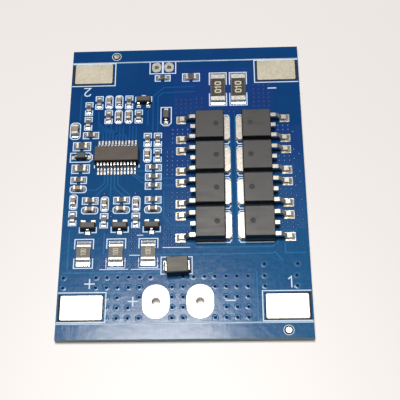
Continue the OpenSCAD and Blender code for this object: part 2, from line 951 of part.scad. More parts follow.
module solder_fillets() {
    color("#dcdcdb") {
        for (i = POWER)
            at(power_place(i), seat_z)
                power_fillets();
        for (p = CHIP_RESISTOR_PLACES)
            at(p, seat_z)
                end_fillets(chip_l, chip_w, chip_toe, resistor_h * chip_fillet_rise);
        for (p = CHIP_CAPACITOR_PLACES)
            at(p, seat_z)
                end_fillets(chip_l, chip_w, chip_toe, capacitor_h * capacitor_fillet_rise);
        for (p = MEDIUM_RESISTOR_PLACES)
            at(p, seat_z)
                end_fillets(medium_chip_l, medium_chip_w, chip_toe, resistor_h * chip_fillet_rise);
        for (p = MEDIUM_CAPACITOR_PLACES)
            at(p, seat_z)
                end_fillets(medium_chip_l, medium_chip_w, chip_toe, capacitor_h * capacitor_fillet_rise);
        for (i = BALANCE)
            at(balance_place(i), seat_z)
                end_fillets(balance_l, balance_w, wide_toe, wide_chip_h * chip_fillet_rise);
        for (p = SHUNT_PLACES)
            at(p, seat_z)
                end_fillets(shunt_l, shunt_w, shunt_toe, wide_chip_h * chip_fillet_rise);
    }
}

// ---- Printed legend ----

module printed() {
    linear_extrude(legend_t)
        children();
}

// A line between two points, with square ends.
module line(a, b) {
    d = b - a;
    translate((a + b) / 2)
        rotate(atan2(d[1], d[0]))
            square([norm(d) + legend_line, legend_line], center = true);
}

module path(points) {
    for (i = [0:len(points) - 2])
        line(points[i], points[i + 1]);
}

// A frame with an opening in the middle of each long side.
module box_outline(l, w, opening) {
    printed()
        difference() {
            square([l, w], center = true);
            square([l - 2 * legend_line, w - 2 * legend_line], center = true);
            if (opening > 0)
                square([opening, w + 1], center = true);
        }
}

// A frame with well rounded corners.
module capsule_outline(l, w) {
    r = 0.38 * w;
    printed()
        difference() {
            rounded_rect(l, w, r);
            rounded_rect(l - 2 * legend_line, w - 2 * legend_line, r - legend_line);
        }
}

// The frame clears the lands by legend_gap all round.
function frame_l(l, toe) = l + 2 * (toe + legend_gap + legend_line);
function frame_w(w) = w + 2 * (land_side + legend_gap + legend_line);

module chip_legend() {
    for (p = CHIP_RESISTOR_PLACES)
        at(p, board_t)
            box_outline(frame_l(chip_l, chip_toe), frame_w(chip_w), chip_frame_opening);
    for (p = MEDIUM_RESISTOR_PLACES)
        at(p, board_t)
            box_outline(frame_l(medium_chip_l, chip_toe), frame_w(medium_chip_w),
                chip_frame_opening);
    for (p = CHIP_CAPACITOR_PLACES)
        at(p, board_t)
            capsule_outline(frame_l(chip_l, chip_toe) + capsule_gap, frame_w(chip_w));
    for (p = MEDIUM_CAPACITOR_PLACES)
        at(p, board_t)
            capsule_outline(frame_l(medium_chip_l, chip_toe) + 4 * capsule_gap,
                frame_w(medium_chip_w) + capsule_gap);
    for (i = BALANCE)
        at(balance_place(i), board_t)
            box_outline(frame_l(balance_l, wide_toe) + 2 * balance_frame_gap,
                frame_w(balance_w) + 2 * balance_frame_gap, balance_frame_opening);
    for (p = SHUNT_PLACES)
        at(p, board_t)
            box_outline(frame_l(shunt_l, shunt_toe), frame_w(shunt_w), shunt_frame_opening);
}

// Two angled lines on the side of a small transistor's single lead.
module transistor_legend() {
    x = small_body_l / 2 + legend_gap;
    y = small_body_w / 2 + transistor_frame_gap;
    stop = transistor_frame_opening / 2;
    for (side = [-1, 1])
        printed()
            path([[side * x, 0], [side * x, -y], [side * stop, -y]]);
}

module signal_diode_legend() {
    x = signal_body_l / 2 + signal_lead_reach + signal_land_toe + legend_gap + legend_line / 2;
    y = signal_body_w / 2 + diode_frame_gap;
    cut_x = diode_frame_cut - x;
    cut_y = y - diode_frame_cut;
    printed()
        path([[x, -y], [x, y], [cut_x, y], [-x, cut_y], [-x, -cut_y], [cut_x, -y], [x, -y]]);
}

// Lines along both sides of a power transistor that turn in at the cut corners of its tab.
module power_legend() {
    tip = power_body_l / 2 + power_tab_reach;
    y = power_pitch / 2 - edge_gap;
    for (side = [-1, 1])
        printed()
            path([
                [-power_body_l / 2 + tab_line_start, side * y],
                [tip - tab_line_turn, side * y],
                [tip - tab_line_end, side * (y - tab_line_drop)]
            ]);
}

// A short line beside each front corner of the controller.
module controller_legend() {
    x = controller_body_l / 2;
    y = controller_body_w / 2 + controller_line_l;
    for (side = [-1, 1])
        printed()
            line([side * x, -y], [side * x, controller_line_l - y]);
}

// Three lines round a wire pad, open towards the side of the board.
module wire_pad_legend(side, end) {
    gap = end < 0 ? front_pad_gap : back_pad_gap;
    outer_x = side * (board_w / 2 - edge_gap);
    inner_x = side * (board_w / 2 - wire_pad_margin - wire_pad_l - pad_frame_gap);
    rail_y = end * (score_y - edge_gap);
    inner_y = end * (score_y - gap - wire_pad_w - pad_frame_gap);
    translate([0, 0, board_t])
        printed()
            path([
                [outer_x, rail_y], [inner_x, rail_y], [inner_x, inner_y], [outer_x, inner_y]
            ]);
}

module sensor_legend() {
    x = sensor_pitch / 2 + sensor_pad_w / 2 + 2 * legend_gap + legend_line / 2;
    y = sensor_pad_l / 2 + 2 * legend_gap;
    rail_y = score_y - edge_gap - sensor_y;
    at([sensor_x, sensor_y, 0], board_t)
        printed() {
            path([[-x, rail_y], [-x, -y], [x, -y], [x, rail_y]]);
            path([[0, -y], [0, -y + sensor_divider_l]]);
        }
}

module legend() {
    color("#eef3f8") {
        chip_legend();
        for (p = TRANSISTOR_PLACES)
            at(p, board_t)
                transistor_legend();
        for (p = SIGNAL_DIODE_PLACES)
            at(p, board_t)
                signal_diode_legend();
        at(SURGE_LAND_PLACE, board_t)
            box_outline(frame_l(surge_body_l, surge_land_toe) + 2 * surge_frame_gap,
                surge_body_w + 2 * surge_frame_side, 0);
        for (i = POWER)
            at(power_place(i), board_t)
                power_legend();
        at(controller_place, board_t)
            controller_legend();
        for (side = [-1, 1], end = [-1, 1])
            wire_pad_legend(side, end);
        sensor_legend();
    }
}

// ---- Assembly ----

printed_board();
sight_marks();
legend();
power_lands();
signal_lands();
solder_fillets();
wire_pad(-1, -1);  // pad_supply_plus
wire_pad(1, 1);  // pad_supply_minus
wire_pad(1, -1);  // pad_tap_1
wire_pad(-1, 1);  // pad_tap_2
output_terminal(-1);  // pad_output_plus
output_terminal(1);  // pad_output_minus
sensor_terminal(-1);  // pad_sensor_1
sensor_terminal(1);  // pad_sensor_2
for (i = POWER) {
    power_body(i);
    power_leadframe(i);
}
controller_body();
controller_leads();
for (i = TRANSISTORS) {
    transistor_body(i);
    transistor_leads(i);
}
for (i = BALANCE) {
    balance_resistor(i);
    balance_terminals(i);
}
for (i = PAIR) {
    shunt(i);
    shunt_terminals(i);
}
surge_diode_body();
surge_diode_leads();
signal_diode_bodies();
signal_diode_leads();
chip_resistors();
chip_resistor_terminals();
resistor_glaze();
chip_capacitors();
chip_capacitor_terminals();
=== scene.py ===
import json
import math

import bmesh
import bpy
from mathutils import Matrix, Vector


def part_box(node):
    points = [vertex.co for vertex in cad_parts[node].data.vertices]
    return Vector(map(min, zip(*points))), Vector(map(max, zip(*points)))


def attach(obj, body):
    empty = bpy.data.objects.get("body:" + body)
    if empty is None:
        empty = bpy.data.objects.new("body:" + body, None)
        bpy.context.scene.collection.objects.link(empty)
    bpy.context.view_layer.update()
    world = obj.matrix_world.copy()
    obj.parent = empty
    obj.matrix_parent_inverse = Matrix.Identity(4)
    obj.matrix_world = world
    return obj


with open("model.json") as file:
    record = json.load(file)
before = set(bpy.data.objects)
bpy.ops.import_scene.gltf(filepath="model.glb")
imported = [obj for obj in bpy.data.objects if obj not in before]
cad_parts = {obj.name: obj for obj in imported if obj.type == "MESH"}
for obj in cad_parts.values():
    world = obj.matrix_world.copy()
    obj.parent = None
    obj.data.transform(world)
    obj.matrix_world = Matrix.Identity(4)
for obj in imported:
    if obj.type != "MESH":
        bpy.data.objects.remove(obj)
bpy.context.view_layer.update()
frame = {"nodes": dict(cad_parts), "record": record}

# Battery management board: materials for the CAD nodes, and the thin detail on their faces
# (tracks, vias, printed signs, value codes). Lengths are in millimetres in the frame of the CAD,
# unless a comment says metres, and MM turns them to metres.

MM = 0.001

nodes = frame["nodes"]
board_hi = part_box("printed_board")[1]
TOP = board_hi[2] / MM

# How far plates reach down into the face that they lie on
SUNK = 0.01
INK_SUNK = 0.005


def node_box(name):
    """Corners of a CAD node's box, in mm."""
    lo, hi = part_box(name)
    return [v / MM for v in lo], [v / MM for v in hi]


# ---------------------------------------------------------------- materials

def srgb(r, g, b):
    """Linear colour of an sRGB one from 0 to 255."""
    def lin(c):
        c /= 255.0
        return c / 12.92 if c <= 0.04045 else ((c + 0.055) / 1.055) ** 2.4
    return (lin(r), lin(g), lin(b), 1.0)


# Colour sockets of the mix node, which has others for numbers and vectors
MIX_A, MIX_B, MIX_RESULT = 6, 7, 2


class Nodes:
    """Short helpers round one material's node tree."""

    def __init__(self, name):
        self.mat = bpy.data.materials.new(name)
        self.mat.use_nodes = True
        self.tree = self.mat.node_tree
        self.bsdf = self.tree.nodes["Principled BSDF"]
        self.place = self.add("ShaderNodeTexCoord").outputs["Object"]

    def add(self, kind, **props):
        n = self.tree.nodes.new(kind)
        for k, v in props.items():
            setattr(n, k, v)
        return n

    def link(self, a, b):
        self.tree.links.new(a, b)

    def set(self, **values):
        for k, v in values.items():
            self.bsdf.inputs[k.replace("_", " ")].default_value = v

    def noise(self, scale, detail=3.0, rough=0.55, vector=None):
        n = self.add("ShaderNodeTexNoise")
        n.inputs["Scale"].default_value = scale
        n.inputs["Detail"].default_value = detail
        n.inputs["Roughness"].default_value = rough
        self.link(vector or self.place, n.inputs["Vector"])
        return n.outputs["Fac"]

    def stretch(self, x, y, z):
        m = self.add("ShaderNodeMapping")
        m.inputs["Scale"].default_value = (x, y, z)
        self.link(self.place, m.inputs["Vector"])
        return m.outputs["Vector"]

    def ramp(self, fac, stops):
        r = self.add("ShaderNodeValToRGB")
        el = r.color_ramp.elements
        while len(el) < len(stops):
            el.new(0.5)
        for e, (p, c) in zip(el, stops):
            e.position = p
            e.color = c
        self.link(fac, r.inputs["Fac"])
        return r.outputs["Color"]

    def span(self, fac, a, b, lo, hi):
        m = self.add("ShaderNodeMapRange")
        m.inputs["From Min"].default_value = a
        m.inputs["From Max"].default_value = b
        m.inputs["To Min"].default_value = lo
        m.inputs["To Max"].default_value = hi
        self.link(fac, m.inputs["Value"])
        return m.outputs["Result"]

    def math(self, op, a, b=None):
        m = self.add("ShaderNodeMath", operation=op)
        for i, v in enumerate((a, b)):
            if v is None:
                continue
            if isinstance(v, (int, float)):
                m.inputs[i].default_value = v
            else:
                self.link(v, m.inputs[i])
        return m.outputs["Value"]

    def mix(self, fac, a, b):
        m = self.add("ShaderNodeMix", data_type="RGBA")
        self.link(fac, m.inputs["Factor"])
        for i, v in ((MIX_A, a), (MIX_B, b)):
            if isinstance(v, tuple):
                m.inputs[i].default_value = v
            else:
                self.link(v, m.inputs[i])
        return m.outputs[MIX_RESULT]

    def color(self, value):
        self.link(value, self.bsdf.inputs["Base Color"])

    def rough(self, value):
        self.link(value, self.bsdf.inputs["Roughness"])

    def bump(self, height, strength, distance):
        b = self.add("ShaderNodeBump")
        b.inputs["Strength"].default_value = strength
        b.inputs["Distance"].default_value = distance
        self.link(height, b.inputs["Height"])
        self.link(b.outputs["Normal"], self.bsdf.inputs["Normal"])

    def axis(self, i):
        s = self.add("ShaderNodeSeparateXYZ")
        self.link(self.place, s.inputs[0])
        return s.outputs[i]

    def facing_up(self):
        """1 on a level face, 0 on an upright one."""
        g = self.add("ShaderNodeNewGeometry")
        s = self.add("ShaderNodeSeparateXYZ")
        self.link(g.outputs["True Normal"], s.inputs[0])
        return self.math("ABSOLUTE", s.outputs[2])


def weave(n):
    """Glass cloth under the resin: two crossed sets of soft ribs."""
    ribs = [n.noise(1.0, 2.0, 0.5, n.stretch(x, y, 60)) for x, y in ((2600, 60), (60, 2200))]
    return n.math("MULTIPLY", ribs[0], ribs[1])


# Where, in metres along y, the mask is wholly its back tone and wholly its front tone; towards the
# front it is painted lighter and greener as painted light
PAINTED_LIGHT_START_Y, PAINTED_LIGHT_FULL_Y = 0.014, -0.022
COPPER_GLOW = srgb(30, 52, 128)
# How level a face is: the sawn wall up to the first, the side of a score line between, and the
# mask from the last
WALL_UP, SLOPE_UP, FLAT_UP = 0.25, 0.72, 0.78


def mask_material(name, back, front, purple, gloss=0.14):
    """Blue mask: deep at the back of the board, and painted lighter and greener towards its front
    as painted light.
    """
    n = Nodes(name)
    fibre = weave(n)
    broad = n.noise(90, 4)
    fine = n.noise(1500, 3)
    swell = n.noise(620, 2, 0.4)
    # Painted light: the tone runs from the back tone to the front tone along y, with broad random
    # patches on top
    along = n.math(
        "ADD",
        n.span(n.axis(1), PAINTED_LIGHT_START_Y, PAINTED_LIGHT_FULL_Y, 0.0, 1.0),
        n.span(broad, 0.3, 0.7, -0.16, 0.16),
    )
    tone = n.mix(along, back, front)
    tone = n.mix(n.span(fibre, 0.2, 0.36, 0.0, purple), tone, COPPER_GLOW)
    up = n.facing_up()
    streak = n.noise(1.0, 3, 0.6, n.stretch(300, 300, 9000))
    wall = n.ramp(
        streak,
        [(0.3, srgb(112, 128, 128)), (0.55, srgb(140, 154, 150)), (0.8, srgb(176, 184, 170))],
    )
    cut = n.ramp(streak, [(0.3, srgb(178, 202, 220)), (0.7, srgb(236, 244, 250))])
    edge = n.mix(n.span(up, WALL_UP, WALL_UP + 0.05, 0.0, 1.0), wall, cut)
    side = n.span(up, SLOPE_UP, FLAT_UP, 1.0, 0.0)
    n.color(n.mix(side, tone, edge))
    polish = n.span(fine, 0.3, 0.7, gloss - 0.03, gloss + 0.03)
    n.rough(n.math("ADD", polish, n.math("MULTIPLY", side, 0.45)))
    n.set(Specular_IOR_Level=0.2)
    ripple = n.math("ADD", n.math("MULTIPLY", fibre, 0.7), n.math("MULTIPLY", fine, 0.5))
    n.bump(n.math("ADD", ripple, n.math("MULTIPLY", swell, 2.5)), 0.25, 0.00002)
    return n.mat


def ink_material():
    """Legend ink: pale blue, since the mask shows through it a little."""
    n = Nodes("printed_ink")
    grain = n.noise(5200, 4, 0.6)
    n.color(n.ramp(
        grain,
        [(0.3, srgb(180, 210, 240)), (0.5, srgb(210, 230, 250)), (0.75, srgb(236, 246, 252))],
    ))
    n.set(Roughness=0.5, Specular_IOR_Level=0.35)
    n.bump(grain, 0.3, 0.00001)
    return n.mat


def tin_material(name, dull, bright, metallic, rough, grain_scale, bump=0.35):
    """Tinned metal, blotched from dull to bright."""
    n = Nodes(name)
    blot = n.noise(grain_scale, 4, 0.55)
    fine = n.noise(grain_scale * 7, 3, 0.5)
    n.color(n.mix(n.span(blot, 0.32, 0.68, 0.0, 1.0), dull, bright))
    n.rough(n.span(fine, 0.3, 0.7, rough - 0.06, rough + 0.08))
    n.set(Metallic=metallic)
    n.bump(n.math("ADD", blot, n.math("MULTIPLY", fine, 0.25)), bump, 0.00004)
    return n.mat


# Near-black colour of the upright faces of mouldings: painted shade
PAINTED_SHADE_MOULD_SIDE = srgb(24, 24, 25)


def mould_material(name, dark, light, rough, speckle, shine=0.4):
    """Moulding compound: a speckled grey top, and upright sides painted nearly black as painted
    shade.
    """
    n = Nodes(name)
    grit = n.noise(speckle, 5, 0.7)
    cloud = n.noise(420, 3, 0.5)
    flow = n.noise(1.0, 3, 0.5, n.stretch(260, 900, 900))
    tone = n.mix(n.span(grit, 0.3, 0.72, 0.0, 1.0), dark, light)
    tone = n.mix(n.span(cloud, 0.4, 0.75, 0.0, 0.25), tone, light)
    # Painted shade: upright faces take the near-black side colour, level faces the speckled top
    # tone
    n.color(n.mix(n.span(n.facing_up(), 0.3, 0.85, 0.0, 1.0), PAINTED_SHADE_MOULD_SIDE, tone))
    n.rough(n.span(flow, 0.3, 0.7, rough - 0.06, rough + 0.08))
    n.set(Specular_IOR_Level=shine)
    n.bump(n.math("ADD", grit, n.math("MULTIPLY", cloud, 0.4)), 0.5, 0.00002)
    return n.mat


def ceramic_material(name, dark, light, rough, scale, shine=0.5):
    """Any plain matt stuff, speckled from dark to light."""
    n = Nodes(name)
    spots = n.noise(scale, 5, 0.6)
    n.color(n.ramp(spots, [(0.3, dark), (0.7, light)]))
    n.rough(n.span(spots, 0.3, 0.7, rough, rough + 0.15))
    n.set(Specular_IOR_Level=shine)
    n.bump(spots, 0.3, 0.00001)
    return n.mat


# The shunts are the only glazed parts past this stretch of x, in metres
SHUNTS_FROM_X, SHUNTS_BY_X = 0.0036, 0.0044


def glaze_material():
    """Overglaze of the resistors: grey on the small ones, nearly black on the two shunts."""
    n = Nodes("resistor_glaze")
    spots = n.noise(2600, 5, 0.6)
    grey = n.ramp(spots, [(0.3, srgb(58, 54, 48)), (0.7, srgb(84, 79, 70))])
    black = n.ramp(spots, [(0.3, srgb(34, 30, 25)), (0.7, srgb(54, 48, 40))])
    n.color(n.mix(n.span(n.axis(0), SHUNTS_FROM_X, SHUNTS_BY_X, 0.0, 1.0), grey, black))
    n.rough(n.span(spots, 0.3, 0.7, 0.3, 0.45))
    n.bump(spots, 0.3, 0.00001)
    return n.mat


# Each mask below has a back tone and a front tone, which mask_material blends along y as painted
# light
MASK = mask_material("solder_mask", srgb(8, 62, 116), srgb(28, 92, 138), 0.3)
DENSE = mask_material("solder_mask_dense_copper", srgb(20, 60, 122), srgb(46, 100, 146), 0.32)
TRACK = mask_material("solder_mask_over_track", srgb(22, 82, 142), srgb(44, 112, 162), 0.0)
VIA_RIM = mask_material(
    "solder_mask_over_via_rim", srgb(16, 68, 126), srgb(42, 100, 146), 0.0, 0.16,
)
SMALL_RIM = mask_material(
    "solder_mask_over_small_via", srgb(12, 44, 104), srgb(10, 34, 98), 0.2, 0.45,
)
INK = ink_material()
# Painted light: a lighter, whiter copy of the pad tin for the front wire pads, where the glare
# falls
PAINTED_LIT_PAD = tin_material(
    "painted_lit_tin_pad", srgb(206, 203, 195), srgb(220, 217, 210), 0.45, 0.36, 500, 0.2,
)
PAD = tin_material(
    "levelled_tin_pad", srgb(186, 180, 160), srgb(199, 193, 174), 0.45, 0.36, 500, 0.2,
)
SENSOR_PAD = tin_material("worn_tin_pad", srgb(146, 145, 140), srgb(196, 194, 186), 0.5, 0.4, 1600)
LAND = tin_material(
    "levelled_tin_land", srgb(126, 118, 100), srgb(228, 225, 214), 0.7, 0.3, 1500, 0.5,
)
SOLDER = tin_material(
    "bright_solder", srgb(196, 196, 194), srgb(240, 240, 238), 0.8, 0.2, 1800, 0.5,
)
LEAD = tin_material("plated_lead", srgb(180, 176, 168), srgb(197, 193, 185), 0.97, 0.29, 1400, 0.06)
CAP = tin_material(
    "plated_terminal", srgb(176, 173, 164), srgb(236, 234, 228), 0.65, 0.3, 2600, 0.4,
)
POWER_MOULD = mould_material("power_mould", srgb(34, 33, 31), srgb(51, 49, 47), 0.38, 14000, 0.6)
POWER_MARK = mould_material("power_mould_mark", srgb(26, 25, 24), srgb(42, 41, 39), 0.5, 14000)
CONTROL_MOULD = mould_material("controller_mould", srgb(66, 58, 51), srgb(87, 78, 70), 0.48, 14000)
SMALL_MOULD = mould_material("small_mould", srgb(52, 50, 48), srgb(98, 94, 90), 0.45, 12000)
SURGE_MOULD = mould_material(
    "surge_diode_mould", srgb(68, 65, 61), srgb(112, 108, 101), 0.45, 12000,
)
ALUMINA = ceramic_material("alumina", srgb(214, 212, 202), srgb(236, 234, 226), 0.5, 3000)
GLAZE = glaze_material()
CODE = ceramic_material("resistor_code", srgb(190, 180, 154), srgb(216, 208, 184), 0.5, 4000)
CERAMIC = ceramic_material("capacitor_ceramic", srgb(132, 110, 90), srgb(178, 156, 132), 0.45, 2400)
HOLLOW = ceramic_material("open_laminate", srgb(24, 34, 40), srgb(48, 60, 66), 0.6, 4000, 0.2)
PIT = ceramic_material("mask_sunk_in_via", srgb(4, 14, 52), srgb(10, 28, 74), 0.6, 4000, 0.1)
# Painted glints: a light dot at the centre of each small via, and a weaker one on the small vias at
# the back
BACK_VIA_FAINT_PAINTED_GLINT = ceramic_material(
    "faint_painted_glint_on_back_via", srgb(30, 66, 126), srgb(50, 92, 150), 0.5, 4000, 0.3,
)
SMALL_VIA_PAINTED_GLINT = ceramic_material(
    "painted_glint_on_small_via", srgb(82, 132, 190), srgb(112, 164, 212), 0.5, 4000, 0.2,
)

SLOT_MATERIAL = {
    "mask": MASK, "ink": INK, "land_tin": LAND, "pad_tin": PAD, "solder": SOLDER,
    "power_mould": POWER_MOULD, "controller_mould": CONTROL_MOULD, "small_mould": SMALL_MOULD,
    "lead_tin": LEAD, "terminal_tin": CAP, "alumina": ALUMINA, "glaze": GLAZE,
    "capacitor_ceramic": CERAMIC,
}
# Nodes that don't take the material of their slot
OWN_MATERIAL = {
    "pad_sensor_1": SENSOR_PAD, "pad_sensor_2": SENSOR_PAD, "surge_diode_body": SURGE_MOULD,
}
# The front wire pads take the painted lit copy of the pad tin
for name in ("pad_supply_plus", "pad_tap_1", "pad_output_plus", "pad_output_minus"):
    OWN_MATERIAL[name] = PAINTED_LIT_PAD
for sub in frame["record"]["subparts"]:
    obj = nodes[sub["node"]]
    if not obj.material_slots:
        obj.data.materials.append(None)
    for s in obj.material_slots:
        s.material = OWN_MATERIAL.get(sub["node"]) or SLOT_MATERIAL[sub["material_slot"]]


# ---------------------------------------------------------------- edges of the CAD pieces

# Edges that turn by more degrees than this are rounded
SHARP_ANGLE = 28
# Numbers in the names of the repeated nodes
POWER_PARTS = range(1, 9)
SMALL_TRANSISTORS = range(1, 5)
BALANCE_RESISTORS = range(1, 4)
SHUNTS = range(1, 3)


def soften(names, width, segments=2):
    """Rounded edges that catch the light, made by a modifier over the unchanged mesh."""
    for name in names:
        obj = nodes[name]
        mod = obj.modifiers.new("rounded_edges", "BEVEL")
        mod.width = width * MM
        mod.segments = segments
        mod.limit_method = "ANGLE"
        mod.angle_limit = math.radians(SHARP_ANGLE)


soften([f"power_body_{i}" for i in POWER_PARTS], 0.07, 3)
soften([f"power_leadframe_{i}" for i in POWER_PARTS], 0.07)
soften([f"transistor_body_{i}" for i in SMALL_TRANSISTORS], 0.05)
soften(["controller_body", "surge_diode_body", "signal_diode_bodies"], 0.05)
soften([f"balance_terminals_{i}" for i in BALANCE_RESISTORS], 0.03)
soften([f"shunt_terminals_{i}" for i in SHUNTS], 0.03)
soften(["chip_capacitor_terminals", "chip_resistor_terminals"], 0.02, 1)


# ---------------------------------------------------------------- mesh helpers

def piece(name, bm, material):
    """A named piece from a finished mesh, fixed to the board."""
    mesh = bpy.data.meshes.new(name)
    bm.normal_update()
    bm.to_mesh(mesh)
    bm.free()
    obj = bpy.data.objects.new(name, mesh)
    bpy.context.scene.collection.objects.link(obj)
    mesh.materials.append(material)
    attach(obj, "root")


def slab(bm, outline, z0, z1):
    """A closed plate over an outline in mm, wound anticlockwise."""
    lower = [bm.verts.new((x * MM, y * MM, z0 * MM)) for x, y in outline]
    upper = [bm.verts.new((x * MM, y * MM, z1 * MM)) for x, y in outline]
    bm.faces.new(upper)
    bm.faces.new(lower[::-1])
    k = len(outline)
    for i in range(k):
        j = (i + 1) % k
        bm.faces.new((lower[i], lower[j], upper[j], upper[i]))


# Sharp corners are mitred out to twice the half width and no further
MITRE_LIMIT = 0.5


def ribbon(bm, points, width, z0, z1, closed=False):
    """A flat bar of even width along a bent line, mitred at its corners."""
    h = width / 2
    count = len(points)
    sections = []
    for i, (x, y) in enumerate(points):
        before = points[i - 1] if i or closed else None
        after = points[(i + 1) % count] if i < count - 1 or closed else None
        ways = []
        if before:
            ways.append((Vector((x, y)) - Vector(before)).normalized())
        if after:
            ways.append((Vector(after) - Vector((x, y))).normalized())
        way = sum(ways, Vector((0, 0))).normalized()
        across = Vector((-way.y, way.x)) * (h / max(MITRE_LIMIT, way.dot(ways[0])))
        spot = Vector((x, y))
        if not before:
            spot -= way * h
        if not after:
            spot += way * h
        sections.append([bm.verts.new((v.x * MM, v.y * MM, z * MM)) for v, z in (
            (spot + across, z0), (spot - across, z0), (spot - across, z1), (spot + across, z1))])
    pairs = list(zip(sections, sections[1:]))
    if closed:
        pairs.append((sections[-1], sections[0]))
    else:
        bm.faces.new(sections[0])
        bm.faces.new(sections[-1][::-1])
    for a, b in pairs:
        for k in range(4):
            j = (k + 1) % 4
            bm.faces.new((a[j], a[k], b[k], b[j]))


def rim(x, y, r, steps):
    """Points round a circle, anticlockwise."""
    turns = [2 * math.pi * k / steps for k in range(steps)]
    return [(x + r * math.cos(a), y + r * math.sin(a)) for a in turns]


def disc(bm, x, y, r, z0, z1, steps):
    slab(bm, rim(x, y, r, steps), z0, z1)


def ring(bm, x, y, profile, steps):
    """A low round swelling: (radius, height over the board) from its inside to its outside."""
    loops = []
    for r, h in profile:
        z = TOP + h
        loops.append([bm.verts.new((px * MM, py * MM, z * MM)) for px, py in rim(x, y, r, steps)])
    for a, b in zip(loops, loops[1:]):
        for k in range(steps):
            j = (k + 1) % steps
            bm.faces.new((a[k], b[k], b[j], a[j])).smooth = True


# Strokes of the plain signs in a box one unit high; a loop joins its end to its start.
GLYPHS = {
    "0": [(True, [
        (-0.2, -0.5), (0.2, -0.5), (0.32, -0.34), (0.32, 0.34),
        (0.2, 0.5), (-0.2, 0.5), (-0.32, 0.34), (-0.32, -0.34),
    ])],
    "1": [(False, [(-0.2, 0.3), (0.05, 0.5), (0.05, -0.5)])],
    "2": [(False, [
        (-0.3, 0.28), (-0.22, 0.43), (0, 0.5), (0.22, 0.43),
        (0.3, 0.25), (0.22, 0.05), (-0.3, -0.5), (0.32, -0.5),
    ])],
    "+": [(False, [(-0.5, 0), (0.5, 0)]), (False, [(0, -0.5), (0, 0.5)])],
    "-": [(False, [(-0.5, 0), (0.5, 0)])],
}
# Step from sign to sign, in heights of a sign
SIGN_STEP = 0.9
# Each further stroke of a sign lies this much lower, so that crossing strokes don't share a face
STROKE_DROP = 0.002


def lettering(bm, text, x, y, size, line, angle, z0, z1, squeeze=1.0):
    """Signs in a row about (x, y), turned by an angle in degrees."""
    c, s = math.cos(math.radians(angle)), math.sin(math.radians(angle))
    for i, sign in enumerate(text):
        shift = (i - (len(text) - 1) / 2) * SIGN_STEP * squeeze
        for k, (closed, points) in enumerate(GLYPHS[sign]):
            spots = []
            for px, py in points:
                u, v = (px * squeeze + shift) * size, py * size
                spots.append((x + u * c - v * s, y + u * s + v * c))
            ribbon(bm, spots, line, z0, z1 - STROKE_DROP * k, closed)


# ---------------------------------------------------------------- tracks under the mask

TRACK_W = 0.26
TRACK_RISE = 0.014
FIELD_RISE = 0.006
# Tracks start this far past the lead tips
LEAD_CLEAR = 0.6
leads_lo, leads_hi = node_box("controller_leads")
lead_mid = (leads_lo[0] + leads_hi[0]) / 2
LEAD_STEP, LEADS_A_SIDE = 0.65, 12
front_y = leads_lo[1] - LEAD_CLEAR
back_y = leads_hi[1] + LEAD_CLEAR


def lead_x(i):
    """Place of lead i of the controller's front or back row, counted from the left."""
    return lead_mid + (i - (LEADS_A_SIDE + 1) / 2) * LEAD_STEP


